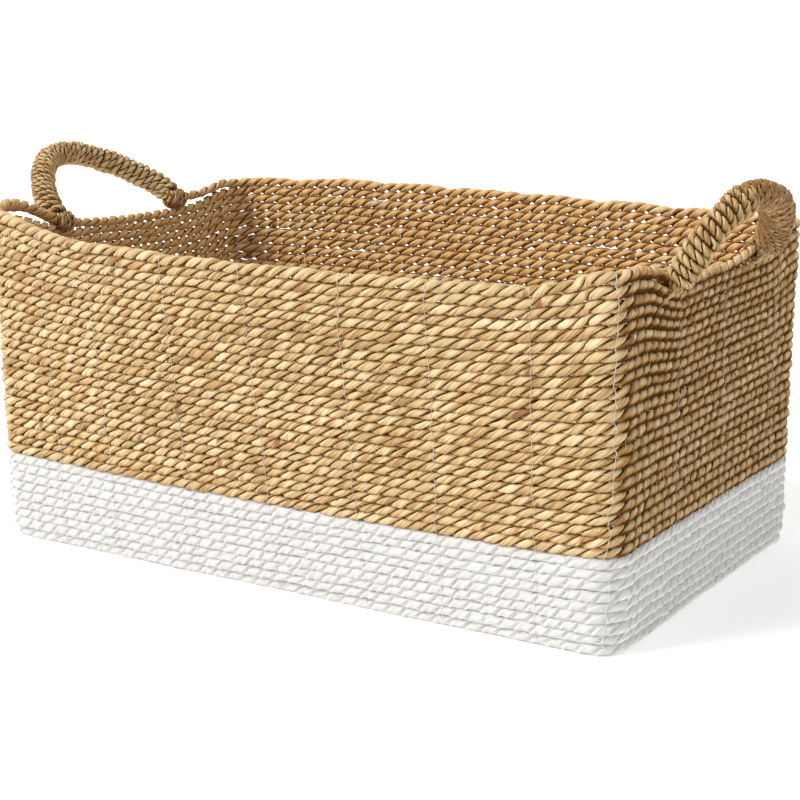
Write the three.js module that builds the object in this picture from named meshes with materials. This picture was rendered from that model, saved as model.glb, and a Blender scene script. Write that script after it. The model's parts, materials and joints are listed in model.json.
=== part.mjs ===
// A rectangular storage basket coiled from twisted seagrass rope, with two swinging wrapped handles.
// Millimetres, +Z up. The origin is the centre of the base on the floor; +X runs along the basket.
//
// The wall is one rope coiled upwards, spliced from lengths of three turns each. Every turn is level
// except on the left end wall, where it climbs to the next course. Upright threads bind the courses.
// Each handle turns about the top course, which is lifted clear of the course below at its feet.

import * as THREE from 'three';

// ---- Driving dimensions -------------------------------------------------------------------------

const BODY_LENGTH = 598; // outside, along X
const BODY_WIDTH = 354; // outside at the base, along Y
const CORNER_RADIUS = 26; // outside, in plan
const TOP_FLARE = 9; // how far the front and back walls lean out at the rim, at the corners

const ROPE_WIDTH = 8.6; // across the wall
const ROPE_HEIGHT = 7.5;
const COURSE_PITCH = 8.4; // one course to the next, except where the ends' courses are packed closer
const WALL_FOOT = 1.6; // the first course stands this high, over the threads that pass under it
const COURSES = 33;
const PAINTED_COURSES = 9;
const COURSES_PER_LENGTH = 3;
const SPLICE_GAP = 0.3;

const RAMP_HALF = 0.44; // the climb from course to course, as a share of the left wall's half length
const TOP_TURN_END = -0.41; // where the rope ends on the left wall, as a share of its half length

const BASE_THICKNESS = 8;
const BASE_CLEARANCE = 3.8; // between the base mat and the wall's inner face, for the threads

const THREAD = 1.2; // square section of a binding thread
const THREAD_GAP_OUT = 0.8; // to the rope's outer face, at the foot
const THREAD_GAP_IN = 1.4; // to the rope's inner face, where the thread spans the bulge's chords
const FRONT_THREADS_X = [-222, -164, -80, -1, 83, 154, 233];
const BACK_THREADS_X = [-226, -133, -59, 22, 98, 171, 225];
const RIGHT_THREADS_Y = [-67, 20, 121]; // clear of the handle's feet
const LEFT_THREADS_Y = [-121, 11, 121];

const CORE_RADIUS = 7.0;
const CORE_GAP = 0.4;
const EYE_OUTER = 7.6;
const EYE_INNER = 5.0;
const EYE_LENGTH = 18;
const EYE_GAP = 0.4;
const ARCH_STEPS = 14;
const WRAP_SIDES = 10;
const CORE_SIDES = 8;
const EYE_SIDES = 12;

// Places along a wall: 0 is its middle, 1 is where the corner begins and 2 is the corner's middle.
const CORNER_MIDDLE = 2;
const LONG_WALL_PLACES = [-2, -1, -0.82, -0.6, -0.3, 0, 0.3, 0.6, 0.82, 1];
const END_WALL_PLACES = [-2, -1, -0.8, -0.63, -0.44, -0.28, 0.28, 0.44, 0.63, 0.8, 1];

// How far the top course stands off the one below it, as [place, distance] pairs along each wall.
const FRONT_LIFT = [[-2, 4], [-1, 1], [-0.8, 0], [1, 0], [2, 0.5]];
const RIGHT_LIFT = [
  [-2, 0.5], [-1, 1], [-0.8, 11.5], [-0.63, 5], [-0.44, 5],
  [-0.28, 0], [0.28, 0], [0.44, 5], [0.63, 5], [1, 1], [2, 1],
];
const BACK_LIFT = [[-2, 1], [-1, 0], [2, 0]];
const LEFT_LIFT = [
  [-2, 0], [-1, 1], [-0.63, 6], [-0.44, 6],
  [-0.28, 0], [0.28, 0], [0.44, 6], [0.63, 6], [0.8, 11], [1, 5], [2, 4],
];

// The four walls in the coil's order, counter-clockwise from above. Each is followed by a corner.
// At the rim a wall has bulged out and sagged this far in its middle, and the corner after it has
// risen by cornerRise. The slope up to a corner begins at the place in slopeFrom: before, after.
const FRONT = {
  out: [0, -1], along: [1, 0], places: LONG_WALL_PLACES, lift: FRONT_LIFT,
  bulge: 38, sag: 2.6, cornerRise: 11, slopeFrom: [0.65, 0.74], slopeLength: 0.45,
};
const RIGHT = {
  out: [1, 0], along: [0, 1], places: END_WALL_PLACES, lift: RIGHT_LIFT,
  bulge: -4, sag: 13, cornerRise: 2, slopeFrom: [0.63, 0.63], slopeLength: 0.4,
};
const BACK = {
  out: [0, 1], along: [-1, 0], places: LONG_WALL_PLACES, lift: BACK_LIFT,
  bulge: 17, sag: 0, cornerRise: -5, slopeFrom: [0.75, 0.5], slopeLength: 0.6,
};
const LEFT = {
  out: [-1, 0], along: [0, -1], places: END_WALL_PLACES, lift: LEFT_LIFT,
  bulge: 5, sag: 16, cornerRise: 9, slopeFrom: [0.63, 0.63], slopeLength: 0.4,
};
const WALLS = [FRONT, RIGHT, BACK, LEFT];

// Each arch: its feet's distance from the wall's middle, pivot to the centre line at the top, how
// far the top leans towards the front, how flat the shoulders are, the radius outside the wound
// cord, how far the legs stand outside the pivot, and the tilt from upright at rest in degrees.
const LEFT_HANDLE = {
  wall: LEFT, footY: 81.4, reach: 79.9, skew: -6, flatness: 0.38, radius: 11.3, offset: 0, tilt: -51.9,
};
const RIGHT_HANDLE = {
  wall: RIGHT, footY: 86.5, reach: 75, skew: -30, flatness: 0.11, radius: 12, offset: 5, tilt: 29.9,
};

const PAINTED_HEIGHT = WALL_FOOT + PAINTED_COURSES * COURSE_PITCH;
const WALL_HEIGHT = WALL_FOOT + COURSES * COURSE_PITCH;

// ---- Materials ----------------------------------------------------------------------------------

function matte(name, color, roughness) {
  return new THREE.MeshStandardMaterial({ name, color, roughness, metalness: 0 });
}

const seagrass = matte('seagrass', 0xbfa06f, 0.8);
const paintedSeagrass = matte('painted_seagrass', 0xe7e2da, 0.75);
const handleCord = matte('handle_cord', 0x8a653d, 0.75);
const bindingThread = matte('binding_thread', 0xd9cbb2, 0.5);

// ---- The wall's shape ---------------------------------------------------------------------------

function halfExtents(height) {
  const share = height / WALL_HEIGHT;
  const inset = ROPE_WIDTH / 2;
  return [BODY_LENGTH / 2 - inset, BODY_WIDTH / 2 + TOP_FLARE * share - inset];
}

function halfAcross([x, y], [halfX, halfY]) {
  return Math.abs(x) * halfX + Math.abs(y) * halfY;
}

// The rope's centre line in plan at a place along a wall, with the directions out of the wall and
// along the coil there. The height sets how far the wall flares and bulges.
function planAt(wall, place, height) {
  const radius = CORNER_RADIUS - ROPE_WIDTH / 2;
  const half = halfExtents(height);
  const reach = halfAcross(wall.out, half) - radius;
  const straight = halfAcross(wall.along, half) - radius;
  const out = new THREE.Vector2(...wall.out);
  const along = new THREE.Vector2(...wall.along);
  const within = THREE.MathUtils.clamp(place, -1, 1);
  const angle = (place - within) * Math.PI / 4;
  const bulge = wall.bulge * height / WALL_HEIGHT;
  const slope = Math.abs(place) < 1 ? -2 * bulge * within / straight : 0;
  const direction = out.clone().multiplyScalar(Math.cos(angle))
    .addScaledVector(along, Math.sin(angle) - slope)
    .normalize();
  const point = out.clone().multiplyScalar(reach + radius * Math.cos(angle) + bulge * (1 - within ** 2))
    .addScaledVector(along, within * straight + radius * Math.sin(angle));
  return { point, direction };
}

// How high a rope lies once the walls have sagged and the corners have risen, both in proportion to
// the height above the paint. The level height is where it would lie in a perfectly even coil.
function settledHeight(wall, place, level) {
  const slopeFrom = wall.slopeFrom[place < 0 ? 0 : 1];
  const slopeEnd = slopeFrom + wall.slopeLength;
  const nearCorner = THREE.MathUtils.smoothstep(Math.abs(place), slopeFrom, slopeEnd);
  const aboveThePaint = Math.max(0, (level - PAINTED_HEIGHT) / (WALL_HEIGHT - PAINTED_HEIGHT));
  const wallBefore = WALLS[(WALLS.indexOf(wall) + WALLS.length - 1) % WALLS.length];
  const rise = (place > 0 ? wall : wallBefore).cornerRise;
  return level + aboveThePaint * THREE.MathUtils.lerp(-wall.sag, rise, nearCorner);
}

// The top course's stand-off, read from the wall's list.
function topLift(wall, place) {
  const above = Math.max(1, wall.lift.findIndex(([mark]) => place <= mark));
  const [[from, low], [to, high]] = wall.lift.slice(above - 1, above + 1);
  return THREE.MathUtils.mapLinear(place, from, to, low, high);
}

// The rope of one course at a place along a wall. The climb, 0 to 1, takes it to the next course.
function ropeAt(wall, place, course, climb = 0) {
  const level = WALL_FOOT + ROPE_HEIGHT / 2 + (course + climb) * COURSE_PITCH;
  const { point, direction } = planAt(wall, place, level);
  const topShare = THREE.MathUtils.clamp(course + climb - (COURSES - 2), 0, 1);
  const z = settledHeight(wall, place, level) + topShare * topLift(wall, place);
  return {
    point: new THREE.Vector3(point.x, point.y, z),
    normal: new THREE.Vector3(direction.x, direction.y, 0),
    binormal: new THREE.Vector3(0, 0, -1),
  };
}

// ---- Sweeping a section along stations ----------------------------------------------------------

// A path with one extrusion step from each station to the next, and the stations' own frames.
class StationPath extends THREE.Curve {
  constructor(stations) {
    super();
    this.stations = stations;
  }

  getSpacedPoints() {
    return this.stations.map((station) => station.point);
  }

  computeFrenetFrames() {
    return {
      normals: this.stations.map((station) => station.normal),
      binormals: this.stations.map((station) => station.binormal),
    };
  }
}

function sweep(section, stations, curveSegments = 1) {
  return new THREE.ExtrudeGeometry(section, {
    steps: stations.length - 1,
    extrudePath: new StationPath(stations),
    curveSegments,
  });
}

function polygon(points) {
  return new THREE.Shape(points.map(([x, y]) => new THREE.Vector2(x, y)));
}

function circlePoints(radius, sides) {
  return Array.from({ length: sides }, (_, i) => {
    const angle = (i + 0.5) * 2 * Math.PI / sides;
    return [radius * Math.cos(angle), radius * Math.sin(angle)];
  });
}

// ---- Wall ropes ---------------------------------------------------------------------------------

const ropeSection = polygon([
  [ROPE_WIDTH / 2, 0],
  [ROPE_WIDTH / 4, ROPE_HEIGHT / 2],
  [-ROPE_WIDTH / 4, ROPE_HEIGHT / 2],
  [-ROPE_WIDTH / 2, 0],
  [-ROPE_WIDTH / 4, -ROPE_HEIGHT / 2],
  [ROPE_WIDTH / 4, -ROPE_HEIGHT / 2],
]);

// One turn of the coil: it starts on the left wall where the climb ended, goes round the front,
// right and back walls, and comes back to climb to the next course. The top turn stops short of that.
function turnStations(course) {
  const isTop = course === COURSES - 1;
  const along = (wall, places) => places.map((place) => ropeAt(wall, place, course));
  return [
    ...along(LEFT, LEFT.places.filter((place) => place > RAMP_HALF)),
    ...along(FRONT, FRONT.places),
    ...along(RIGHT, RIGHT.places),
    ...along(BACK, BACK.places),
    ...along(LEFT, LEFT.places.filter((place) => place <= -RAMP_HALF)),
    isTop ? ropeAt(LEFT, TOP_TURN_END, course) : ropeAt(LEFT, 0, course, 0.5),
  ];
}

function buildWallRope(firstCourse) {
  const stations = [ropeAt(LEFT, RAMP_HALF, firstCourse)];
  stations[0].point.y -= SPLICE_GAP;
  for (let course = firstCourse; course < firstCourse + COURSES_PER_LENGTH; course += 1) {
    stations.push(...turnStations(course));
    if (course < COURSES - 1) stations.push(ropeAt(LEFT, RAMP_HALF, course, 1));
  }
  return sweep(ropeSection, stations);
}

// ---- Binding threads ----------------------------------------------------------------------------

const threadSection = polygon(circlePoints(THREAD / Math.SQRT2, 4));

// A loop of thread round all the courses at a place along a wall, in the upright plane that faces
// out there. It starts and ends, a splice gap apart, under the first course.
function threadStations(wall, place) {
  const onLeftRamp = wall === LEFT && Math.abs(place) < RAMP_HALF;
  const climb = onLeftRamp ? (place + RAMP_HALF) / (2 * RAMP_HALF) : 0;
  const foot = ropeAt(wall, place, 0);
  const top = ropeAt(wall, place, onLeftRamp ? COURSES - 2 : COURSES - 1, climb);
  const out = foot.normal;
  const across = new THREE.Vector3(-out.y, out.x, 0);
  const outer = ROPE_WIDTH / 2 + THREAD_GAP_OUT + THREAD / 2;
  const inner = ROPE_WIDTH / 2 + THREAD_GAP_IN + THREAD / 2;
  const bevel = ROPE_WIDTH / 4;
  const over = ROPE_HEIGHT / 2 + THREAD_GAP_OUT + THREAD / 2;
  const under = WALL_FOOT / 2 - foot.point.z;
  const corners = [
    [foot, 0, under],
    [foot, outer - bevel, under],
    [foot, outer, under + bevel],
    [top, outer, over - bevel],
    [top, outer - bevel, over],
    [top, bevel - inner, over],
    [top, -inner, over - bevel],
    [foot, -inner, under + bevel],
    [foot, bevel - inner, under],
    [foot, -SPLICE_GAP, under],
  ].map(([rope, outward, up]) => rope.point.clone()
    .addScaledVector(out, outward)
    .add(new THREE.Vector3(0, 0, up)));
  return corners.map((point, i) => {
    const from = corners[Math.max(i - 1, 0)];
    const to = corners[Math.min(i + 1, corners.length - 1)];
    const tangent = to.clone().sub(from).normalize();
    return { point, normal: across.clone().cross(tangent), binormal: across };
  });
}

function threadPlaces() {
  const halfLong = BODY_LENGTH / 2 - CORNER_RADIUS;
  const halfEnd = BODY_WIDTH / 2 - CORNER_RADIUS;
  const rows = [
    ['front', FRONT, FRONT_THREADS_X.map((x) => x / halfLong)],
    ['back', BACK, BACK_THREADS_X.map((x) => -x / halfLong)],
    ['right', RIGHT, RIGHT_THREADS_Y.map((y) => y / halfEnd)],
    ['left', LEFT, LEFT_THREADS_Y.map((y) => -y / halfEnd)],
  ];
  const corners = WALLS.map((wall, i) => [`corner_thread_${i + 1}`, wall, CORNER_MIDDLE]);
  const straights = rows.flatMap(([name, wall, places]) => (
    places.map((place, i) => [`${name}_thread_${i + 1}`, wall, place])
  ));
  return [...straights, ...corners];
}

// ---- Base mat -----------------------------------------------------------------------------------

function buildBaseMat() {
  const inset = ROPE_WIDTH + BASE_CLEARANCE;
  const halfX = BODY_LENGTH / 2 - inset;
  const halfY = BODY_WIDTH / 2 - inset;
  const radius = CORNER_RADIUS - inset;
  const outline = new THREE.Shape();
  outline.absarc(halfX - radius, halfY - radius, radius, 0, Math.PI / 2);
  outline.absarc(radius - halfX, halfY - radius, radius, Math.PI / 2, Math.PI);
  outline.absarc(radius - halfX, radius - halfY, radius, Math.PI, 1.5 * Math.PI);
  outline.absarc(halfX - radius, radius - halfY, radius, 1.5 * Math.PI, 2 * Math.PI);
  return new THREE.ExtrudeGeometry(outline, {
    depth: BASE_THICKNESS,
    bevelEnabled: false,
    curveSegments: 4,
  });
}

// ---- Handles ------------------------------------------------------------------------------------

// The arch in the handle's own frame: X outward, Y across the feet, Z from the pivot to the top.
function archStations({ footY, reach, skew, flatness, offset }) {
  const legStart = EYE_OUTER + EYE_GAP;
  const rise = reach - legStart;
  const binormal = new THREE.Vector3(1, 0, 0);
  return Array.from({ length: ARCH_STEPS + 1 }, (_, i) => {
    const angle = Math.PI * (1 - i / ARCH_STEPS);
    const sine = Math.sin(angle);
    const cosine = Math.cos(angle);
    const y = footY * cosine + skew * sine ** 2;
    const z = legStart + rise * sine * (1 - flatness * cosine ** 2);
    const slopeY = 2 * skew * sine * cosine - footY * sine;
    const slopeZ = rise * cosine * (1 - flatness * cosine ** 2 + 2 * flatness * sine ** 2);
    const tangent = new THREE.Vector3(0, -slopeY, -slopeZ).normalize();
    return { point: new THREE.Vector3(offset, y, z), normal: binormal.clone().cross(tangent), binormal };
  });
}

function buildHandleWrap(handle) {
  const ring = polygon(circlePoints(handle.radius, WRAP_SIDES));
  const hole = circlePoints(CORE_RADIUS + CORE_GAP, WRAP_SIDES).reverse();
  ring.holes.push(new THREE.Path(hole.map(([x, y]) => new THREE.Vector2(x, y))));
  return sweep(ring, archStations(handle));
}

function buildHandleCore(handle) {
  return sweep(polygon(circlePoints(CORE_RADIUS, CORE_SIDES)), archStations(handle));
}

function buildHandleEye() {
  const half = EYE_LENGTH / 2;
  const profile = [
    [EYE_INNER, -half],
    [EYE_OUTER, -half],
    [EYE_OUTER, half],
    [EYE_INNER, half],
    [EYE_INNER, -half],
  ].map(([radius, along]) => new THREE.Vector2(radius, along));
  return new THREE.LatheGeometry(profile, EYE_SIDES);
}

// ---- Assembly -----------------------------------------------------------------------------------

function named(name, geometry, material) {
  const mesh = new THREE.Mesh(geometry, material.clone());
  mesh.name = name;
  return mesh;
}

function assembleHandle(name, handle) {
  const straight = halfExtents(WALL_HEIGHT)[1] - CORNER_RADIUS + ROPE_WIDTH / 2;
  const foot = ropeAt(handle.wall, handle.footY / straight, COURSES - 1);
  const group = new THREE.Group();
  group.position.set(foot.point.x, 0, foot.point.z);
  group.rotation.y = THREE.MathUtils.degToRad(handle.tilt);
  group.add(named(`${name}_core`, buildHandleCore(handle), handleCord));
  group.add(named(`${name}_wrap`, buildHandleWrap(handle), handleCord));
  for (const [end, side] of [['front', -1], ['back', 1]]) {
    const eye = named(`${name}_${end}_eye`, buildHandleEye(), handleCord);
    eye.position.y = side * handle.footY;
    group.add(eye);
  }
  return group;
}

const basket = new THREE.Group();
basket.add(named('base_mat', buildBaseMat(), seagrass));
for (let first = 0; first < COURSES; first += COURSES_PER_LENGTH) {
  const isPainted = first < PAINTED_COURSES;
  const number = (isPainted ? first : first - PAINTED_COURSES) / COURSES_PER_LENGTH + 1;
  const name = `${isPainted ? 'painted' : 'natural'}_rope_${number}`;
  basket.add(named(name, buildWallRope(first), isPainted ? paintedSeagrass : seagrass));
}
for (const [name, wall, place] of threadPlaces()) {
  basket.add(named(name, sweep(threadSection, threadStations(wall, place)), bindingThread));
}
basket.add(assembleHandle('left_handle', LEFT_HANDLE));
basket.add(assembleHandle('right_handle', RIGHT_HANDLE));

export default basket;
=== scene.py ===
import json
import math

import bpy
import numpy as np
from mathutils import Matrix, Vector


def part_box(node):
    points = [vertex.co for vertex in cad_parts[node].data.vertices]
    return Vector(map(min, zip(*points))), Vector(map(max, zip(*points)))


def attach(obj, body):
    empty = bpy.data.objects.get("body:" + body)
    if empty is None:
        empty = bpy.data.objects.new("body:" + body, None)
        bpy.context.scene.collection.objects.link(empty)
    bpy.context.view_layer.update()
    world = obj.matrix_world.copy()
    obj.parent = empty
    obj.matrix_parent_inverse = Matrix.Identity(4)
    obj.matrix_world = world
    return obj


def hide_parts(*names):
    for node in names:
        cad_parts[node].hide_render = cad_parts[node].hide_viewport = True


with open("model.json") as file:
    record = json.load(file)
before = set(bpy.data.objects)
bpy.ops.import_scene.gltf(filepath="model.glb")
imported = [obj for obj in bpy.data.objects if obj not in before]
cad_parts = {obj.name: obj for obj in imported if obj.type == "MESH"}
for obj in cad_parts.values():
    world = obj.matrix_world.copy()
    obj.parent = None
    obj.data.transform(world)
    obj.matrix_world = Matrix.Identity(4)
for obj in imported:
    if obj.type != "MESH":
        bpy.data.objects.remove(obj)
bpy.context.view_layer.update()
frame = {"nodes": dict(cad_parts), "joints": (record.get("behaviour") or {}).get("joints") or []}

MM = 0.001

# ---- Sizes, in metres ---------------------------------------------------------------------------

BASE_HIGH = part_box("base_mat")[1]
TOP_LOW, TOP_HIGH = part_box("natural_rope_8")

PITCH = 8.4 * MM  # one course to the next
ROPE = 8.6 * MM  # across the wall
FIRST_LINE = 3.9 * MM  # from the wall's foot up to the first course's centre line
COURSES = 33
PAINTED = 9
PER_LENGTH = 3  # courses in each CAD length of rope
WALL_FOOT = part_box("painted_rope_1")[0].z
BASE_INSET = 12.4 * MM  # from the wall's outer face to the base
HALF_X = BASE_HIGH.x + BASE_INSET
HALF_Y = BASE_HIGH.y + BASE_INSET
CORNER = 26 * MM
FLARE = 9 * MM  # how far the long walls lean out at the rim
FOOT_INSET = 2.5 * MM  # of the first course, as the foot is rounded

# Places along a wall: 0 is its middle, 1 is where the corner begins and 2 is the corner's middle.
RAMP = 0.44  # the climb to the next course, on the left wall
TOP_END = -0.41  # where the top course ends, on the left wall
WALL_HEIGHT = WALL_FOOT + COURSES * PITCH
PAINT_HEIGHT = WALL_FOOT + PAINTED * PITCH
FRONT, RIGHT, BACK, LEFT = range(4)
OUT = np.array([[0, -1], [1, 0], [0, 1], [-1, 0]], float)
ALONG = np.array([[1, 0], [0, 1], [-1, 0], [0, -1]], float)
BULGE = np.array(
    [-TOP_LOW.y - HALF_Y - FLARE, -4 * MM, TOP_HIGH.y - HALF_Y - FLARE, -TOP_LOW.x - HALF_X]
)
SAG = np.array([2.6, 13, 0, 16]) * MM  # in the middle of each wall, at the rim
CORNER_RISE = np.array([11, 2, -5, 9]) * MM  # at the corner after each wall
CRESTS = np.array([1.4, 1.2, 2.6, 1.2]) * MM  # the rim's rise between two threads, on each wall
SLOPE_BEFORE = np.array([0.65, 0.36, 0.75, 0.63])  # where the slope to a wall's corner begins
SLOPE_AFTER = np.array([0.74, 0.63, 0.50, 0.36])
LENGTH_BEFORE = np.array([0.45, 0.6, 0.6, 0.4])
LENGTH_AFTER = np.array([0.45, 0.4, 0.6, 0.6])
# How far the top course stands off the next one, in millimetres, at these places on each wall.
LIFT_MARKS = [-2, -1, -0.8, -0.65, -0.58, -0.44, -0.28, 0.28, 0.44, 0.58, 0.65, 0.8, 1, 2]
TOP_LIFTS = [
    [4, 1, 0, 0, 0, 0, 0, 0, 0, 0, 0, 0, 0, 0.5],
    [0.5, 0.5, 1, 5.5, 1.5, 2.5, 0, 0, 5, 5, 5, 3, 1, 1],
    [1, 0, 0, 0, 0, 0, 0, 0, 0, 0, 0, 0, 0, 0],
    [0, 1, 3.7, 5.5, 6, 6, 0, 0, 3.5, 1.5, 4, 6, 5, 4],
]
WALL_NAMES = ["front", "right", "back", "left"]

STEP = 2.2 * MM  # between rings of a wall strand
OFF_FLOOR = 0.1 * MM  # nothing is lower
LAY = 27 * MM  # length of one full twist


def clip01(x):
    return np.clip(x, 0.0, 1.0)


def ease(x):
    x = clip01(x)
    return x * x * (3 - 2 * x)


def unit(v):
    return v / np.linalg.norm(v, axis=-1, keepdims=True)


def wander(at, spacing, rng):
    """Smooth random values of about unit spread, with bumps one spacing apart."""
    x = (at - at.min()) / spacing
    knots = rng.standard_normal(int(x.max()) + 3)
    i = np.floor(x).astype(int)
    f = ease(x - i)
    return knots[i] * (1 - f) + knots[i + 1] * f


# ---- The wall's shape ---------------------------------------------------------------------------


def plan_at(wall, place, height):
    """A course's centre line in plan, and the direction out of the wall."""
    radius = CORNER - ROPE / 2
    share = height / WALL_HEIGHT
    half = np.stack([HALF_X - ROPE / 2 + 0 * share, HALF_Y + FLARE * share - ROPE / 2], -1)
    reach = (np.abs(OUT[wall]) * half).sum(-1) - radius
    straight = (np.abs(ALONG[wall]) * half).sum(-1) - radius
    within = np.clip(place, -1, 1)
    angle = (place - within) * math.pi / 4
    bulge = BULGE[wall] * share
    slope = np.where(np.abs(place) < 1, -2 * bulge * within / straight, 0)
    across = reach + radius * np.cos(angle) + bulge * (1 - within**2)
    beside = within * straight + radius * np.sin(angle)
    point = OUT[wall] * across[:, None] + ALONG[wall] * beside[:, None]
    out = OUT[wall] * np.cos(angle)[:, None] + ALONG[wall] * (np.sin(angle) - slope)[:, None]
    return point, unit(out)


def settled(wall, place, level):
    """The height of a course once the walls have sagged and the corners have risen."""
    start = np.where(place < 0, SLOPE_BEFORE[wall], SLOPE_AFTER[wall])
    length = np.where(place < 0, LENGTH_BEFORE[wall], LENGTH_AFTER[wall])
    near_corner = ease((np.abs(place) - start) / length)
    above = np.maximum(0, (level - PAINT_HEIGHT) / (WALL_HEIGHT - PAINT_HEIGHT)) ** 2
    rise = np.where(place > 0, CORNER_RISE[wall], CORNER_RISE[wall - 1])
    return level + above * (rise * near_corner - SAG[wall] * (1 - near_corner))


def top_lift(wall, place):
    lifts = [np.interp(place, LIFT_MARKS, row) for row in TOP_LIFTS]
    return np.choose(wall, lifts) * MM


def turn_samples(course):
    """Wall, place and climb along one turn, from where the last climb ended."""
    last = course == COURSES - 1
    runs = [(LEFT, RAMP, 1, 36), (LEFT, 1, 2, 14)]
    for wall, count in ((FRONT, 250), (RIGHT, 140), (BACK, 250)):
        runs += [(wall, -2, -1, 14), (wall, -1, 1, count), (wall, 1, 2, 14)]
    runs += [(LEFT, -2, -1, 14), (LEFT, -1, -RAMP, 36)]
    wall = np.concatenate([np.full(n, w) for w, _, _, n in runs])
    place = np.concatenate([np.linspace(a, b, n, endpoint=False) for _, a, b, n in runs])
    climb = np.zeros(len(place))
    if last:
        return np.append(wall, LEFT), np.append(place, TOP_END), np.append(climb, 0)
    ramp = np.linspace(-RAMP, RAMP, 60, endpoint=False)
    wall = np.append(wall, np.full(60, LEFT))
    place = np.append(place, ramp)
    climb = np.append(climb, ease((ramp + RAMP) / (2 * RAMP)))
    return wall, place, climb


rng = np.random.default_rng(41)
parts = [turn_samples(c) for c in range(COURSES)]
wall = np.concatenate([p[0] for p in parts])
place = np.concatenate([p[1] for p in parts])
course = np.concatenate([p[2] + c for c, p in enumerate(parts)])
turn = np.concatenate([np.full(len(p[0]), float(c)) for c, p in enumerate(parts)])
level = WALL_FOOT + FIRST_LINE + course * PITCH
plan, out = plan_at(wall, place, level)
z = settled(wall, place, level) + clip01(course - (COURSES - 2)) * top_lift(wall, place)
pitch = settled(wall, place, level + PITCH) - settled(wall, place, level)
path = np.column_stack([plan, z])
run = np.concatenate([[0], np.cumsum(np.linalg.norm(np.diff(path, axis=0), axis=1))])
s = np.arange(0, run[-1], STEP)


def at_stations(values):
    if values.ndim == 1:
        return np.interp(s, run, values)
    return np.column_stack([np.interp(s, run, v) for v in values.T])


nearest = np.clip(np.searchsorted(run, s), 0, len(run) - 1)
path, out = at_stations(path), unit(at_stations(out))
pitch = at_stations(pitch)
path[:, 2] = np.convolve(np.pad(path[:, 2], 4, "edge"), np.ones(9) / 9, "valid")
course = at_stations(course)
wall, place, turn = wall[nearest], place[nearest], turn[nearest].astype(int)
out = np.column_stack([out, np.zeros(len(s))])
up = np.tile([0.0, 0.0, 1.0], (len(s), 1))

# Where the binding threads cross, from the CAD nodes.
thread_nodes = sorted(n for n in frame["nodes"] if "_thread_" in n)
thread_at = {}
for node in thread_nodes:
    low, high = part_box(node)
    thread_at[node] = np.array([(low.x + high.x) / 2, (low.y + high.y) / 2])
crossings = {w: [] for w in range(4)}
for node, middle in thread_at.items():
    if not node.startswith("corner"):
        w = WALL_NAMES.index(node.split("_")[0])
        crossings[w].append(float(middle @ ALONG[w]))

# The rim rises between threads and every course pinches in under them.
beside = (path[:, :2] * ALONG[wall]).sum(-1)
scallop, pinch = np.zeros(len(s)), np.zeros(len(s))
for w, marks in crossings.items():
    here = wall == w
    ends = (HALF_X if w in (FRONT, BACK) else HALF_Y) - 4 * MM
    marks = np.array([-ends, *sorted(marks), ends])
    gap = np.searchsorted(marks, beside[here]).clip(1, len(marks) - 1)
    share = (beside[here] - marks[gap - 1]) / (marks[gap] - marks[gap - 1])
    scallop[here] = np.sin(math.pi * clip01(share)) ** 0.7
    close = np.abs(beside[here][:, None] - marks[None, 1:-1]).min(1)
    pinch[here] = np.exp(-((close / (3.2 * MM)) ** 2))
crest = CRESTS[wall]
below_rim = COURSES - 1 - course
path[:, 2] += crest * (scallop - 0.5) * np.exp(-below_rim / 4)
path[:, 2] += 0.16 * MM * wander(s, 55 * MM, rng) + 0.30 * MM * wander(s, 9 * MM, rng)
path -= out * (FOOT_INSET * np.exp(-course / 0.7))[:, None]
path += out * (0.42 * MM * wander(s, 70 * MM, rng) + 0.20 * MM * wander(s, 16 * MM, rng))[:, None]
size = 1.04 + 0.02 * wander(s, 90 * MM, rng) + 0.04 * wander(s, 20 * MM, rng) - 0.06 * pinch
size *= (pitch / PITCH) ** 0.9 * np.where(turn < PAINTED, 1.06, 1.0)
lay = LAY * (1 + 0.07 * wander(s, 260 * MM, rng))
phase = np.cumsum(2 * math.pi * STEP / lay)
tangent = unit(np.gradient(path, axis=0))
up = unit(np.cross(out, tangent) * -1)
up = up * np.sign(up[:, 2:3])

# ---- Meshes -------------------------------------------------------------------------------------


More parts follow.
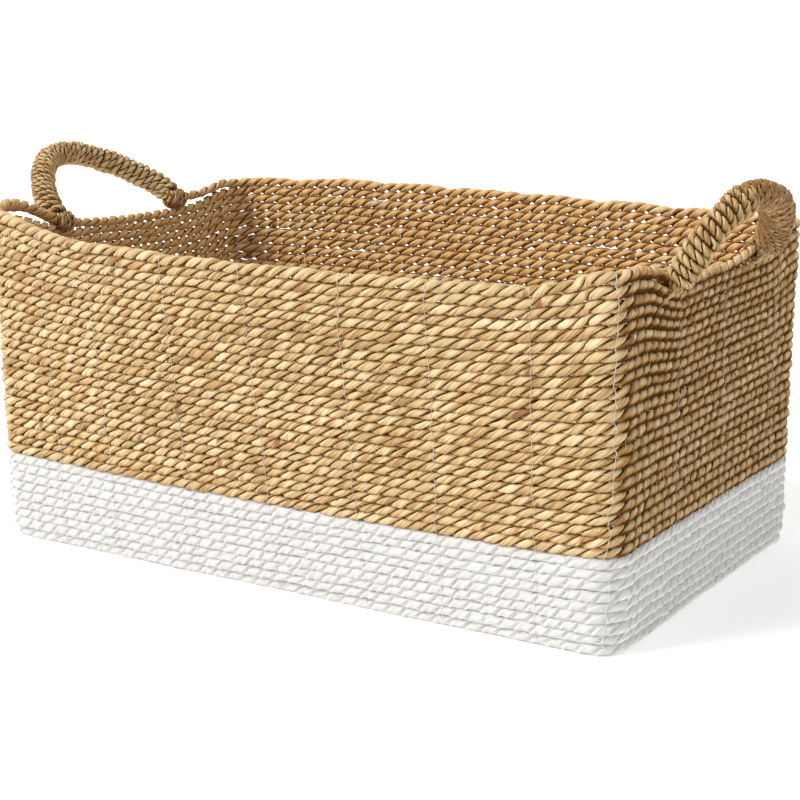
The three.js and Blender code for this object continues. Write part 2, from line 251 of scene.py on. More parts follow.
class Tubes:
    """Collects closed tubes, each a stack of rings, with numbers on their points, for one mesh."""

    def __init__(self):
        self.points, self.loops, self.sizes = [], [], []
        self.extra = {}
        self.count = 0

    def add(self, rings, **extra):
        n, m = rings.shape[:2]
        ids = np.arange(n * m).reshape(n, m) + self.count
        nxt = np.roll(ids, -1, axis=1)
        quads = np.stack([ids[:-1], nxt[:-1], nxt[1:], ids[1:]], -1).reshape(-1, 4)
        centre = rings.mean(1)
        side = np.cross(rings[0, 1] - rings[0, 0], rings[1, 0] - rings[0, 0])
        if side @ (rings[0, 0] - centre[0]) < 0:
            quads = quads[:, ::-1]
            caps = [ids[0], ids[-1, ::-1]]
        else:
            caps = [ids[0, ::-1], ids[-1]]
        self.points.append(rings.reshape(-1, 3))
        self.loops += [quads.ravel(), *caps]
        self.sizes += [np.full(len(quads), 4), np.array([m, m])]
        for key, values in extra.items():
            values = np.asarray(values, float)
            if values.ndim == 1:
                values = np.repeat(values, m)
            elif values.ndim == 3:
                values = values.reshape(-1, 3)
            else:
                values = values.reshape(-1)
            self.extra.setdefault(key, []).append(values)
        self.count += n * m

    def build(self, name, material, body, slot, nodes=()):
        mesh = bpy.data.meshes.new(name)
        points = np.concatenate(self.points)
        points[:, 2] = np.maximum(points[:, 2], OFF_FLOOR)
        loops = np.concatenate(self.loops)
        sizes = np.concatenate(self.sizes)
        mesh.vertices.add(len(points))
        mesh.vertices.foreach_set("co", points.ravel())
        mesh.loops.add(len(loops))
        mesh.loops.foreach_set("vertex_index", loops)
        mesh.polygons.add(len(sizes))
        mesh.polygons.foreach_set("loop_start", np.concatenate([[0], np.cumsum(sizes)[:-1]]))
        mesh.polygons.foreach_set("use_smooth", np.ones(len(sizes), bool))
        mesh.update(calc_edges=True)
        for key, values in self.extra.items():
            values = np.concatenate(values)
            kind, field = ("FLOAT_VECTOR", "vector") if values.ndim == 2 else ("FLOAT", "value")
            mesh.attributes.new(key, kind, "POINT").data.foreach_set(field, values.ravel())
        mesh.materials.append(material)
        piece = bpy.data.objects.new(name, mesh)
        bpy.context.scene.collection.objects.link(piece)
        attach(piece, body)
        if nodes:
            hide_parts(*nodes)
        return piece


def leaf_numbers(at, seed):
    """Tone (pale or dark) and hue (green to orange) of one strand along its length."""
    r = np.random.default_rng(seed)
    tone = 0.42 * wander(at, 13 * MM, r) + 0.30 * wander(at, 120 * MM, r)
    hue = 0.28 * wander(at, 17 * MM, r) + 0.35 * wander(at, 90 * MM, r)
    rust = clip01(wander(at, 9 * MM, r) - 1.5)
    return tone, hue, rust


def twisted(centre, out, up, at, phase, offset, a, b, sides, seed, grow=1.0, covered=1.0, coat=None):
    """The two strands of a rope laid round a centre line, as rings with their numbers. The rope's
    neighbours lie above and below it along up, the one above only where covered is 1. The coat
    says where the outer side is painted and where, on the right wall, it gets painted shade."""
    grow = np.broadcast_to(grow, at.shape)
    angles = np.arange(sides) * 2 * math.pi / sides
    made = []
    for k in (0, 1):
        r = np.random.default_rng(seed + 500 * k)
        turn = phase + k * math.pi
        radial = out * np.cos(turn)[:, None] + up * np.sin(turn)[:, None]
        beside = up * np.cos(turn)[:, None] - out * np.sin(turn)[:, None]
        width = grow * (1 + 0.11 * wander(at, 11 * MM, r))
        if coat:
            width = width * (1 + 0.10 * coat["paint"])
        depth = grow * (1 + 0.05 * wander(at, 15 * MM, r))
        # Narrower where it faces out than above and below, which points the ends of each leaf.
        width = width * (0.92 + 0.20 * np.sin(turn) ** 2)
        x = a * np.cos(angles)[None] * depth[:, None]
        y = b * np.sin(angles)[None] * width[:, None]
        y = y + 0.10 * b * width[:, None] * np.sin(2 * angles)[None]
        from_axis = x + (offset * grow)[:, None]
        rings = centre[:, None] + radial[:, None] * from_axis[..., None]
        rings = rings + beside[:, None] * y[..., None]
        radius = ((offset + a) * grow)[:, None]
        reach = np.hypot(from_axis, y) / radius
        roll = at / (60 * MM)
        grain = np.stack(
            [
                np.broadcast_to(at[:, None] + 9.7 * k + seed * 0.37, x.shape),
                x * np.cos(roll)[:, None] - y * np.sin(roll)[:, None],
                x * np.sin(roll)[:, None] + y * np.cos(roll)[:, None],
            ],
            -1,
        )
        tone, hue, rust = leaf_numbers(at, seed + 900 + k)
        # Painted shade: darker in the groove between the strands and where the neighbouring courses
        # touch.
        shade = ease((reach - 0.55) / 0.22) * ease((from_axis / radius + 0.02) / 0.26)
        offset_here = rings - centre[:, None]
        upward = (offset_here * up[:, None]).sum(-1) / radius
        touch = np.where(upward > 0, upward * np.reshape(covered, (-1, 1)), -upward)
        shade = shade * (1 - 0.75 * ease((touch - 0.80) / 0.2))
        # Painted light and shade: each strand is lighter on its upper side and darker underneath.
        tone = tone[:, None] + 0.8 * clip01(upward + 0.6) - 0.62
        numbers = {"grain": grain, "hue": hue, "rust": rust, "shade": shade}
        if coat:
            outside = ease(((offset_here * out[:, None]).sum(-1) + 0.6 * MM) / (1.6 * MM))
            numbers["paint"] = coat["paint"][:, None] * outside
            # Painted shade on the right wall's outer side: darker all over, most of all on each
            # course's underside, with the tops of the courses lighter than their undersides.
            under = ease((0.35 - upward) / 0.9)
            right_wall_shade = coat["right_wall_shade"][:, None] * outside
            numbers["shade"] = shade * (1 - right_wall_shade * (0.14 + 0.78 * under))
            # Painted light: besides the right wall's painted shade, the wall's inner side is made
            # lighter and more orange, standing in for warm light bounced round inside the basket.
            tone = tone + right_wall_shade * (0.7 * clip01(upward) - 0.35) + 0.2 * (1 - outside)
            numbers["hue"] = hue[:, None] - 1.9 * (1 - outside)
        numbers["tone"] = tone
        made.append((rings, numbers))
    return made


# ---- Materials ----------------------------------------------------------------------------------


class Nodes:
    def __init__(self, name):
        self.material = bpy.data.materials.new(name)
        self.material.use_nodes = True
        self.tree = self.material.node_tree
        self.shader = self.tree.nodes["Principled BSDF"]

    def new(self, kind, **settings):
        node = self.tree.nodes.new("ShaderNode" + kind)
        for key, value in settings.items():
            setattr(node, key, value)
        return node

    def link(self, a, b):
        self.tree.links.new(a, b)

    def number(self, name):
        return self.new("Attribute", attribute_name=name).outputs["Fac"]

    def feed(self, socket, value):
        if isinstance(value, (int, float)):
            socket.default_value = value
        elif isinstance(value, tuple):
            socket.default_value = (*value, 1.0) if len(socket.default_value) == 4 else value
        else:
            self.link(value, socket)

    def math(self, operation, a, b=0.0, clamp=False):
        node = self.new("Math", operation=operation, use_clamp=clamp)
        self.feed(node.inputs[0], a)
        self.feed(node.inputs[1], b)
        return node.outputs[0]

    def mix(self, factor, a, b, blend="MIX"):
        node = self.new("Mix", data_type="RGBA", blend_type=blend)
        self.feed(node.inputs["Factor"], factor)
        self.feed(node.inputs[6], a)
        self.feed(node.inputs[7], b)
        return node.outputs[2]

    def grow(self, value, low, high, to_low=0.0, to_high=1.0):
        node = self.new("MapRange", interpolation_type="SMOOTHSTEP")
        self.feed(node.inputs["Value"], value)
        for key, number in (("From Min", low), ("From Max", high)):
            node.inputs[key].default_value = number
        node.inputs["To Min"].default_value = to_low
        node.inputs["To Max"].default_value = to_high
        return node.outputs["Result"]

    def grain(self, along, across, detail=2.0, roughness=0.55):
        place = self.new("Attribute", attribute_name="grain").outputs["Vector"]
        scale = self.new("VectorMath", operation="MULTIPLY")
        self.link(place, scale.inputs[0])
        scale.inputs[1].default_value = (along, across, across)
        noise = self.new("TexNoise", noise_dimensions="3D")
        self.link(scale.outputs[0], noise.inputs["Vector"])
        noise.inputs["Scale"].default_value = 1.0
        noise.inputs["Detail"].default_value = detail
        noise.inputs["Roughness"].default_value = roughness
        return noise.outputs["Fac"]

    def bump(self, height, strength, distance):
        node = self.new("Bump")
        node.inputs["Strength"].default_value = strength
        node.inputs["Distance"].default_value = distance
        self.link(height, node.inputs["Height"])
        self.link(node.outputs["Normal"], self.shader.inputs["Normal"])


def seagrass(name, pale, straw, tan, green, orange, shadow, crevice_shade, painted=False, fine=1.0):
    n = Nodes(name)
    fibre = n.grain(60 * fine, 1250 * fine, 3.0, 0.6)
    streak = n.grain(22 * fine, 520 * fine, 1.0, 0.5)
    blotch = n.grain(45, 200, 2.0)
    tone = n.math("MULTIPLY_ADD", n.number("tone"), 0.26)
    tone.node.inputs[2].default_value = 0.5
    lines = n.math("SUBTRACT", fibre, 0.5)
    wide_lines = n.math("SUBTRACT", streak, 0.5)
    tone = n.math("ADD", tone, n.math("MULTIPLY", lines, 1.2))
    tone = n.math("ADD", tone, n.math("MULTIPLY", wide_lines, 1.3))
    tone = n.math("ADD", tone, n.math("MULTIPLY", n.math("SUBTRACT", blotch, 0.5), 0.4))
    ramp = n.new("ValToRGB")
    n.link(tone, ramp.inputs["Fac"])
    stops = ramp.color_ramp.elements
    stops[0].position, stops[0].color = 0.10, (*tan, 1)
    stops[1].position, stops[1].color = 0.92, (*pale, 1)
    middle = stops.new(0.50)
    middle.color = (*straw, 1)
    hue = n.math("ADD", n.number("hue"), n.math("MULTIPLY", wide_lines, 3.0))
    colour = n.mix(n.grow(hue, 0.1, 1.6, 0, 0.5), ramp.outputs["Color"], green)
    colour = n.mix(n.grow(n.math("MULTIPLY", hue, -1.0), 0.4, 1.8, 0, 0.6), colour, orange)
    rust = n.math("MULTIPLY", n.number("rust"), n.grow(blotch, 0.35, 0.6))
    colour = n.mix(n.grow(rust, 0.0, 0.55, 0, 0.85), colour, (0.23, 0.075, 0.022))
    # Painted shade: where the shade number is low the colour turns to the shadow colour, and deepest
    # in the grooves to the crevice shade colour.
    shade = n.number("shade")
    edge = n.math("ADD", shade, n.math("MULTIPLY", lines, 0.7))
    deep = n.grow(edge, 0.35, 1.0, 0.8, 0)
    colour = n.mix(deep, colour, shadow)
    dark = n.grow(edge, 0.08, 0.58, 1, 0)
    colour = n.mix(n.math("MULTIPLY", dark, 0.95), colour, crevice_shade)
    rough = n.grow(fibre, 0.3, 0.7, 0.72, 0.52)
    if painted:
        paint = n.number("paint")
        flaw = n.grow(n.grain(26, 120, 3.0), 0.66, 0.74)
        worn = n.math("MULTIPLY", flaw, n.grow(edge, 0.1, 0.8, 1, 0.0))
        cover = n.math("MULTIPLY", paint, n.math("SUBTRACT", 1.0, worn), clamp=True)
        white = n.mix(n.grow(blotch, 0.3, 0.75), (0.655, 0.647, 0.63), (0.61, 0.598, 0.572))
        # Painted light: the paint colour is lighter in the grooves, against the shade there.
        white = n.mix(n.math("MULTIPLY", dark, 0.8), white, (0.93, 0.925, 0.91))
        n.shader.inputs["Subsurface Weight"].default_value = 0.3
        n.shader.inputs["Subsurface Scale"].default_value = 0.003
        n.shader.inputs["Subsurface Radius"].default_value = (1, 1, 1)
        colour = n.mix(cover, colour, white)
        rough = n.math("MULTIPLY_ADD", cover, 0.1)
        rough.node.inputs[2].default_value = 0.62
        n.bump(fibre, 0.22, 0.0004)
    else:
        n.bump(fibre, 0.55, 0.0005)
    n.link(colour, n.shader.inputs["Base Color"])
    n.link(rough, n.shader.inputs["Roughness"])
    n.link(n.grow(edge, 0.2, 0.9, 0.0, 0.34), n.shader.inputs["Specular IOR Level"])
    n.shader.inputs["Sheen Weight"].default_value = 0.03
    n.shader.inputs["Sheen Roughness"].default_value = 0.4
    return n.material


GRASS = {
    "pale": (0.80, 0.66, 0.41),
    "straw": (0.60, 0.42, 0.205),
    "tan": (0.34, 0.19, 0.062),
    "green": (0.50, 0.42, 0.21),
    "orange": (0.68, 0.38, 0.12),
    "shadow": (0.34, 0.15, 0.018),
    "crevice_shade": (0.06, 0.022, 0.003),
}
NATURAL = seagrass("natural_seagrass", **GRASS)
PAINTED_GRASS = seagrass("painted_seagrass", **GRASS, painted=True)
CORD = seagrass(
    "handle_cord",
    pale=(0.78, 0.59, 0.33),
    straw=(0.55, 0.355, 0.15),
    tan=(0.30, 0.15, 0.05),
    green=(0.47, 0.38, 0.17),
    orange=(0.50, 0.23, 0.07),
    shadow=(0.24, 0.105, 0.018),
    crevice_shade=(0.035, 0.013, 0.003),
    fine=1.5,
)


def thread_material():
    n = Nodes("binding_thread")
    noise = n.grain(300, 900, 2.0)
    colour = n.mix(n.grow(noise, 0.35, 0.65), (0.72, 0.62, 0.50), (0.52, 0.43, 0.33))
    colour = n.mix(n.number("paint"), colour, (0.76, 0.75, 0.72))
    n.link(colour, n.shader.inputs["Base Color"])
    n.link(n.grow(noise, 0.3, 0.7, 0.35, 0.5), n.shader.inputs["Roughness"])
    n.bump(noise, 0.3, 0.0002)
    n.shader.inputs["Sheen Weight"].default_value = 0.2
    return n.material


THREAD = thread_material()

# ---- The wall's courses -------------------------------------------------------------------------

OFFSET, DEEP, WIDE = 2.02 * MM, 2.38 * MM, 3.42 * MM  # a strand's place and half sizes
FILL_DEEP, FILL_TALL = 3.1 * MM, 4.1 * MM  # half sizes
around_right = np.where(wall == RIGHT, clip01(2 - np.abs(place)), 0)
coat = {"paint": np.where(turn < PAINTED, 1.0, 0.0), "right_wall_shade": ease(around_right / 0.6)}
covered = 1 - ease(course - (COURSES - 2))
strands = twisted(
    path, out, up, s, phase, OFFSET, DEEP, WIDE, 10, 3, grow=size, covered=covered, coat=coat
)


def fill(part):
    """The paint that fills the grooves between the strands, as a plain tube on the rope's line."""
    angles = (np.arange(12) + 0.5) * 2 * math.pi / 12
    grow = size[part, None, None]
    squared = np.column_stack([np.cos(angles), np.sin(angles)])
    squared = np.sign(squared) * np.sqrt(np.abs(squared))
    across = FILL_DEEP * squared[None, :, :1] * grow
    tall = FILL_TALL * squared[None, :, 1:] * grow
    rings = path[part, None] + out[part, None] * across + up[part, None] * tall
    flat = np.zeros(rings.shape[:2])
    outside = ease((across[..., 0] + 0.6 * MM) / (1.6 * MM)) + flat
    along = np.broadcast_to(s[part, None], flat.shape)
    numbers = {"grain": np.stack([along, across[..., 0] + flat, tall[..., 0] + flat], -1)}
    # Painted shade: the fill lies in the grooves and is given half shade; its tone is darker too.
    numbers |= {"tone": flat - 0.6, "hue": flat, "rust": flat, "shade": flat + 0.5, "paint": outside}
    return rings, numbers


for c in range(COURSES):
    here = np.flatnonzero(turn == c)
    first, last = here[0], min(here[-1] + 2, len(s))
    tubes = Tubes()
    for rings, numbers in strands:
        tubes.add(rings[first:last], **{k: v[first:last] for k, v in numbers.items()})
    is_painted = c < PAINTED
    if is_painted:
        fill_rings, fill_numbers = fill(slice(first, last))
        tubes.add(fill_rings, **fill_numbers)
    kind = "painted" if is_painted else "natural"
    length = c // PER_LENGTH + 1 if is_painted else (c - PAINTED) // PER_LENGTH + 1
    tubes.build(
        f"{kind}_course_{c + 1:02d}",
        PAINTED_GRASS if is_painted else NATURAL,
        "basket",
        f"{kind}_seagrass",
        [f"{kind}_rope_{length}"],
    )

# ---- The base, one rope coiled flat -------------------------------------------------------------

BASE_STEP = 2.9 * MM
BASE_CORNER = CORNER - BASE_INSET


def around(t, inset):
    """A point and the outward direction at a share t of the way round a rounded rectangle."""
    radius = max(BASE_CORNER - inset, 3 * MM)
    flat_x = max(BASE_HIGH.x - inset - radius, 0)
    flat_y = max(BASE_HIGH.y - inset - radius, 0)
    quarter = radius * math.pi / 2
    lengths = [2 * flat_x, quarter, 2 * flat_y, quarter] * 2
    centres = [(flat_x, -flat_y), (flat_x, flat_y), (-flat_x, flat_y), (-flat_x, -flat_y)]
    left = t * sum(lengths)
    for i, length in enumerate(lengths):
        if left <= length or i == 7:
            break
        left -= length
    side = i // 2
    cx, cy = centres[side]
    o = OUT[side]
    a = ALONG[side]
    if i % 2 == 0:
        back = length - left
        return (cx + o[0] * radius - a[0] * back, cy + o[1] * radius - a[1] * back), o
    angle = left / radius
    direction = o * math.cos(angle) + a * math.sin(angle)
    return (cx + direction[0] * radius, cy + direction[1] * radius), direction


# Each round keeps its distance from the edge and moves one pitch inward near its end.
base_plan, base_out = [], []
for j in range(int((BASE_HIGH.y - 5 * MM) / PITCH)):
    ring_steps = max(60, int(360 * (1 - j * PITCH / BASE_HIGH.y)) + 120)
    for i in range(ring_steps):
        t = i / ring_steps
        rounds = j + float(ease((t - 0.93) / 0.07))
        p, d = around(t, rounds * PITCH + 2.8 * MM)
        base_plan.append(p)
        base_out.append(d)
base_plan, base_out = np.array(base_plan), np.array(base_out)
base_run = np.concatenate([[0], np.cumsum(np.linalg.norm(np.diff(base_plan, axis=0), axis=1))])
bs = np.arange(0, base_run[-1], BASE_STEP)
base_path = np.column_stack(
    [np.interp(bs, base_run, base_plan[:, 0]), np.interp(bs, base_run, base_plan[:, 1])]
    + [np.full(len(bs), BASE_HIGH.z / 2 + 0.3 * MM)]
)
base_out = unit(
    np.column_stack(
        [np.interp(bs, base_run, base_out[:, 0]), np.interp(bs, base_run, base_out[:, 1])]
        + [np.zeros(len(bs))]
    )
)
rng = np.random.default_rng(77)
base_path[:, 2] += 0.12 * MM * wander(bs, 40 * MM, rng)
base_path += base_out * (0.25 * MM * wander(bs, 60 * MM, rng))[:, None]
base_up = np.tile([0.0, 0.0, 1.0], (len(bs), 1))
base_phase = np.cumsum(2 * math.pi * BASE_STEP / (LAY * (1 + 0.08 * wander(bs, 260 * MM, rng))))
tubes = Tubes()
for rings, numbers in twisted(
    base_path, base_out, base_up, bs, base_phase, 1.7 * MM, 1.9 * MM, 3.8 * MM, 7, 11
):
    tubes.add(rings, **numbers)
tubes.build("base_coil", NATURAL, "basket", "natural_seagrass", ["base_mat"])

# ---- Binding threads ----------------------------------------------------------------------------

STITCH, NEAR_CORNER_STITCH = 0.24 * MM, 0.36 * MM  # radii
STITCH_SPAN = 12 * MM  # a thread skips the courses that lie farther from it
STAND_OFF = 0.45 * MM  # how far a stitch stands off a course
DIP_IN, DIP_DOWN = 1.3 * MM, 3.9 * MM  # where it dips between two courses
OVER_RIM, RIM_SIDE = 4.3 * MM, 2.2 * MM  # where it turns over the top course


def smooth_path(points, per_span):
    """A Catmull-Rom curve through the points."""
    p = np.vstack([2 * points[0] - points[1], points, 2 * points[-1] - points[-2]])
    t = (np.arange(per_span) / per_span)[None, :, None]
    a, b, c, d = (p[i : len(p) - 3 + i][:, None] for i in range(4))
    curve = 0.5 * (
        2 * b
        + (c - a) * t
        + (2 * a - 5 * b + 4 * c - d) * t**2
        + (3 * b - a - 3 * c + d) * t**3
    )
    return np.vstack([curve.reshape(-1, 3), points[-1]])


def round_tube(tubes, points, radius, sides, seed, numbers, flat=1.0):
    """Adds a plain tube along the points, round or flattened."""
    tangent = unit(np.gradient(points, axis=0))
    side = unit(np.cross(tangent, [0.31, 0.23, 0.92]))
    other = np.cross(tangent, side)
    angles = np.arange(sides) * 2 * math.pi / sides
    radius = np.broadcast_to(radius, len(points))[:, None]
    x, y = radius * np.cos(angles)[None], radius * flat * np.sin(angles)[None]
    rings = points[:, None] + side[:, None] * x[..., None] + other[:, None] * y[..., None]
    at = np.concatenate([[0], np.cumsum(np.linalg.norm(np.diff(points, axis=0), axis=1))])
    along = np.broadcast_to(at[:, None] + seed * 0.731, x.shape)
    tubes.add(rings, grain=np.stack([along, x, y], -1), **numbers)


# Each thread goes up the outside over every course, round the rim and down the inside.
for index, node in enumerate(thread_nodes):
    r = np.random.default_rng(1000 + index)
    middle = thread_at[node]
    corner = node.startswith("corner")
    radius = NEAR_CORNER_STITCH if node == "corner_thread_1" else STITCH
    rows = []
    for c in range(COURSES):
        here = np.flatnonzero(turn == c)
        if corner:
            gap = np.linalg.norm(path[here, :2] - middle, axis=1)
        else:
            w = WALL_NAMES.index(node.split("_")[0])
            gap = np.abs(beside[here] - middle @ ALONG[w]) + np.where(wall[here] == w, 0, 1)
        if gap.min() < STITCH_SPAN:
            rows.append(here[gap.argmin()])
    rows = np.array(rows)
    last_row = len(rows) - 1
    sway = np.cumsum(r.normal(0, 0.7, len(rows))) * MM
    sway = (sway - sway.mean()) * 0.8 - 0.35 * MM + r.normal(0, 0.5 * MM, len(rows))
    reach = (ROPE / 2 - 0.15 * MM) * size[rows] / 0.95
    loops = []
    for facing, order in ((1, range(last_row + 1)), (-1, range(last_row, -1, -1))):
        for c in order:
            i = rows[c]
            p = path[i] + tangent[i] * sway[c] * facing
            if facing > 0:
                loops.append(p + out[i] * (reach[c] - DIP_IN) - up[i] * DIP_DOWN)
                loops.append(p + out[i] * (reach[c] + STAND_OFF))
                if c == last_row:
                    loops.append(p + out[i] * RIM_SIDE + up[i] * OVER_RIM)
                    loops.append(p - out[i] * RIM_SIDE + up[i] * OVER_RIM)
            else:
                loops.append(p - out[i] * (reach[c] + STAND_OFF))
                loops.append(p - out[i] * (reach[c] - DIP_IN) - up[i] * DIP_DOWN)
    line = smooth_path(np.array(loops), 4)
    line[:, 2] = np.maximum(line[:, 2], 0.5 * MM)
    paint = ease((PAINT_HEIGHT - line[:, 2]) / (1 * MM))
    tubes = Tubes()
    round_tube(tubes, line, radius, 5, index, {"paint": paint})
    tubes.build(node.replace("thread", "stitch"), THREAD, "basket", "binding_thread", [node])

# ---- Loose fibres -------------------------------------------------------------------------------

GROUPS, FIBRES = 4, 300  # fibres in each group
GROUP_COURSES = 6
INSIDE_SHARE = 0.25  # of the fibres, on the wall's inner face


def fibre_blade(tubes, root, along, outward, length, width, seed):
    """Adds one thin blade of grass that lifts away from the rope it comes out of."""
    r = np.random.default_rng(seed)
    t = np.linspace(0, 1, 6)[:, None]
    lift = r.uniform(0.1, 0.75)
    swing = unit(np.cross(along, outward)) * r.normal(0, 0.35)
    line = root + length * (along * t + outward * lift * t**1.6 + swing * t**2)
    slim = width * (1 - 0.75 * t[:, 0])
    tone, hue = r.normal(-0.1, 1.2), r.normal(-0.7, 1.1)
    same = np.ones(len(t))
    numbers = {"tone": tone * same, "hue": hue * same, "rust": 0.6 * (r.random() < 0.3) * same}
    numbers |= {"shade": same, "paint": 0 * same}
    round_tube(tubes, line, slim, 5, seed * 0.01, numbers, flat=0.45)


rng = np.random.default_rng(5)
for group in range(GROUPS):
    tubes = Tubes()
    low = PAINTED + group * GROUP_COURSES
    here = np.flatnonzero((turn >= low) & (turn < low + GROUP_COURSES))
    for k in range(FIBRES):
        i = rng.choice(here)
        facing = -1 if rng.random() < INSIDE_SHARE else 1
        angle = rng.uniform(-0.7, 0.7)
        outward = out[i] * math.cos(angle) * facing + up[i] * math.sin(angle)
        root = path[i] + outward * 3.4 * MM
        along = unit(tangent[i] * rng.choice([-1, 1]) + up[i] * rng.normal(0.0, 0.5))
        length = rng.gamma(2.2, 2.3) * MM + 2 * MM
        width = rng.uniform(0.3, 0.7) * MM
        fibre_blade(tubes, root, along, outward, length, width, 7000 + group * FIBRES + k)
    tubes.build(f"loose_fibres_{group + 1}", NATURAL, "basket", "natural_seagrass")

# ---- Handles ------------------------------------------------------------------------------------

PIVOTS = {joint["child"]: Vector(joint["pos_m"]) for joint in frame["joints"]}
LEG_START = 8.0 * MM  # from the rim's centre line to where a leg begins
EYE_HALF = 9 * MM  # half the width of a knot


def arch(shape, count):
    """The centre line of a handle in its own frame: X outward, Y across the feet, Z upward."""
    angle = np.linspace(math.pi, 0, count)
    sine, cosine = np.sin(angle), np.cos(angle)
    rise = shape["reach"] * MM - LEG_START
    return np.column_stack(
        [
            np.full(count, shape["offset"] * MM),
            shape["foot"] * MM * cosine + shape["skew"] * MM * sine**2,
            LEG_START + rise * sine * (1 - shape["flat"] * cosine**2),
        ]
    )


def wind(tubes, line, pitch_at, width_at, radius_at, lay_at, seed, darker_at=None):
    """Winds a two-strand cord round a line. The functions give the windings' pitch, the cord's
    width, the outer radius and the cord's lay over its width, for a share of the line."""
    length = np.concatenate([[0], np.cumsum(np.linalg.norm(np.diff(line, axis=0), axis=1))])
    share, angle, shares, angles = 0.0, 0.0, [], []
    while share < 1:
        shares.append(share)
        angles.append(angle)
        turn_step = 1.3 * MM / radius_at(share)
        angle += turn_step
        share += turn_step / (2 * math.pi) * pitch_at(share) / length[-1]
    shares, angles = np.array(shares), np.array(angles)
    r = np.random.default_rng(seed)
    here = shares * length[-1]
    base = np.column_stack([np.interp(here, length, line[:, i]) for i in range(3)])
    forward = unit(np.gradient(line, axis=0))
    forward = unit(np.column_stack([np.interp(here, length, forward[:, i]) for i in range(3)]))
    binormal = np.tile([1.0, 0.0, 0.0], (len(here), 1))
    normal = unit(np.cross(forward, binormal))
    radial = normal * np.cos(angles)[:, None] + binormal * np.sin(angles)[:, None]
    width = np.array([width_at(x) for x in shares])
    radius = np.array([radius_at(x) for x in shares])
    cord = radius - width / 2
    arc = angles * radius.mean()
    cord = cord + 0.35 * MM * wander(arc, 22 * MM, r)
    centre = base + radial * cord[:, None] + forward * (0.3 * MM * wander(arc, 15 * MM, r))[:, None]
    along = unit(np.gradient(centre, axis=0))
    radial = unit(radial - along * (radial * along).sum(-1)[:, None])
    side = np.cross(along, radial)
    at = np.concatenate([[0], np.cumsum(np.linalg.norm(np.diff(centre, axis=0), axis=1))])
    lay_here = width * np.array([lay_at(x) for x in shares]) * (1 + 0.1 * wander(at, 90 * MM, r))
    turn_angle = np.concatenate([[0], np.cumsum(2 * math.pi * np.diff(at) / lay_here[1:])])
    grow = width / (8.6 * MM) * (1 + 0.06 * wander(at, 30 * MM, r))
    for rings, numbers in twisted(
        centre, radial, side, at, turn_angle, OFFSET, DEEP, WIDE, 7, seed, grow=grow
    ):
        if darker_at:
            numbers["tone"] = numbers["tone"] - np.array([darker_at(x) for x in shares])[:, None]
        tubes.add(rings, **numbers)


def swell(x):
    """How much thicker the right handle is, at a share of its length from the front foot."""
    bump = 0.14 * math.exp(-(((x - 0.31) / 0.035) ** 2))
    return 1 + bump + 0.22 * float(ease((x - 0.55) / 0.2)) - 0.08 * float(ease((x - 0.85) / 0.15))


# Lengths are in millimetres and angles in degrees. The functions take a share of the handle's length
# from its front foot.
HANDLES = {
    "left": {
        "foot": 81.4,
        "reach": 79.9,
        "skew": -6,
        "flat": 0.38,
        "offset": 0,
        "tilt": -51.9,
        "radius": lambda x: 11.3 * MM,
        "coarse": lambda x: x > 0.56,
        # Painted light: these negative values make the left handle's cord lighter, the coarse part
        # most, to lift it out of the shade it sits in.
        "darker": lambda x: -0.5 - 0.6 * float(x > 0.56),
    },
    "right": {
        "foot": 86.5,
        "reach": 75,
        "skew": -30,
        "flat": 0.11,
        "offset": 5,
        "tilt": 29.9,
        "radius": lambda x: 12 * MM * swell(x),
        "coarse": lambda x: x < 0.34,
        "darker": lambda x: 1.3 * float(ease((x - 0.3) / 0.1)) - 0.3,
    },
}
# Painted shade: the bundle lies under the winding and is given a low shade number; its tone is
# darker too.
BUNDLE = {"tone": -1.2, "hue": -0.5, "rust": 0, "shade": 0.25}
BUNDLE_RADIUS = 7.6 * MM
EYE_WINDINGS = (5.0 * MM, 5.2 * MM, 9.4 * MM, 2.4)  # pitch, width, outer radius, lay over width


def make_handle(name, shape, number):
    """Builds a handle's winding, bundle and knots, turned to where they rest on the rim."""
    body = f"{name}_handle"
    turned = Matrix.Rotation(math.radians(shape["tilt"]), 4, "Y")
    matrix = np.array(Matrix.Translation(PIVOTS[body]) @ turned)

    def put(tubes, piece, node):
        tubes.points = [p @ matrix[:3, :3].T + matrix[:3, 3] for p in tubes.points]
        tubes.build(f"{body}_{piece}", CORD, body, "handle_cord", [f"{body}_{node}"])

    def windings(coarse, fine):
        return lambda x: coarse if shape["coarse"](x) else fine

    line = arch(shape, 160)
    pitch_at, width_at = windings(6.9 * MM, 6.2 * MM), windings(6.5 * MM, 5.7 * MM)
    lay_at = windings(2.1, 2.3)
    wrap = Tubes()
    wind(wrap, line, pitch_at, width_at, shape["radius"], lay_at, 60 + number, shape["darker"])
    put(wrap, "winding", "wrap")
    core = Tubes()
    numbers = {key: np.full(len(line), value) for key, value in BUNDLE.items()}
    round_tube(core, line, BUNDLE_RADIUS, 14, number, numbers)
    put(core, "bundle", "core")
    for foot, facing in (("front", -1), ("back", 1)):
        eye = Tubes()
        beside = facing * shape["foot"] * MM + np.linspace(-1, 1, 40) * EYE_HALF
        line = np.column_stack([np.zeros(40), beside, np.zeros(40)])
        wind(eye, line, *(lambda x, value=v: value for v in EYE_WINDINGS), 80 + number)
        put(eye, f"{foot}_knot", f"{foot}_eye")


for number, (name, shape) in enumerate(HANDLES.items()):
    make_handle(name, shape, number)

# ---- Floor, lights and camera -------------------------------------------------------------------

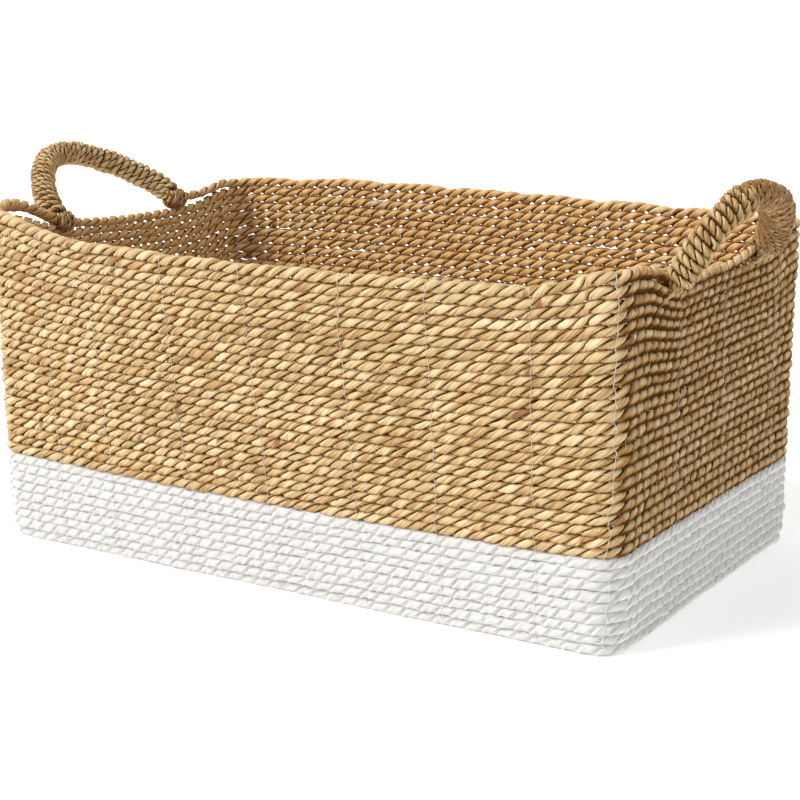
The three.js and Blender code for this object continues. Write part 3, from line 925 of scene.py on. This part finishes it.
FLOOR = 60.0  # half its side
BRIGHT_SIDE = (-0.88, -0.40, 0.26)  # the studio is brighter this way
SUN_FROM = (-0.58, -0.64, 0.85)
CAMERA_PLACE = (0.8831, -1.4263, 0.5452)
floor_mesh = bpy.data.meshes.new("floor")
floor_mesh.from_pydata(
    [(-FLOOR, -FLOOR, 0), (FLOOR, -FLOOR, 0), (FLOOR, FLOOR, 0), (-FLOOR, FLOOR, 0)],
    [],
    [(0, 1, 2, 3)],
)
floor = bpy.data.objects.new("floor", floor_mesh)
bpy.context.scene.collection.objects.link(floor)
paper = Nodes("floor_paper")
paper.shader.inputs["Base Color"].default_value = (0.92, 0.92, 0.92, 1)
paper.shader.inputs["Roughness"].default_value = 0.9
paper.shader.inputs["Specular IOR Level"].default_value = 0.1
paper.shader.inputs["Emission Color"].default_value = (1, 1, 1, 1)
paper.shader.inputs["Emission Strength"].default_value = 0.28
floor_mesh.materials.append(paper.material)

world = bpy.data.worlds.new("studio")
bpy.context.scene.world = world
world.use_nodes = True
tree = world.node_tree
background = tree.nodes["Background"]
coordinate = tree.nodes.new("ShaderNodeTexCoord")
toward = tree.nodes.new("ShaderNodeVectorMath")
toward.operation = "DOT_PRODUCT"
toward.inputs[1].default_value = BRIGHT_SIDE
tree.links.new(coordinate.outputs["Generated"], toward.inputs[0])
spread = tree.nodes.new("ShaderNodeMapRange")
spread.interpolation_type = "SMOOTHSTEP"
spread.inputs["From Min"].default_value = -0.7
spread.inputs["From Max"].default_value = 0.5
spread.inputs["To Min"].default_value = 0.62
spread.inputs["To Max"].default_value = 0.92
tree.links.new(toward.outputs["Value"], spread.inputs["Value"])
tree.links.new(spread.outputs["Result"], background.inputs["Strength"])
background.inputs["Color"].default_value = (1, 1, 1, 1)

sun_data = bpy.data.lights.new("key", "SUN")
sun_data.energy = 2.2
sun_data.angle = math.radians(24)
sun = bpy.data.objects.new("key", sun_data)
bpy.context.scene.collection.objects.link(sun)
sun.rotation_euler = Vector(SUN_FROM).to_track_quat("Z", "Y").to_euler()

camera_data = bpy.data.cameras.new("camera")
camera = bpy.data.objects.new("camera", camera_data)
bpy.context.scene.collection.objects.link(camera)
camera_data.sensor_width = 36
camera_data.lens = 89.77
camera_data.shift_x = 0.006
camera_data.clip_end = 200
yaw, down, roll = math.radians(-31.74), math.radians(14.16), math.radians(-0.13)
forward = Vector((math.sin(yaw) * math.cos(down), math.cos(yaw) * math.cos(down), -math.sin(down)))
camera.matrix_world = (
    Matrix.Translation(CAMERA_PLACE)
    @ forward.to_track_quat("-Z", "Y").to_matrix().to_4x4()
    @ Matrix.Rotation(roll, 4, "Z")
)
bpy.context.scene.camera = camera
bpy.context.scene.view_settings.view_transform = "Standard"
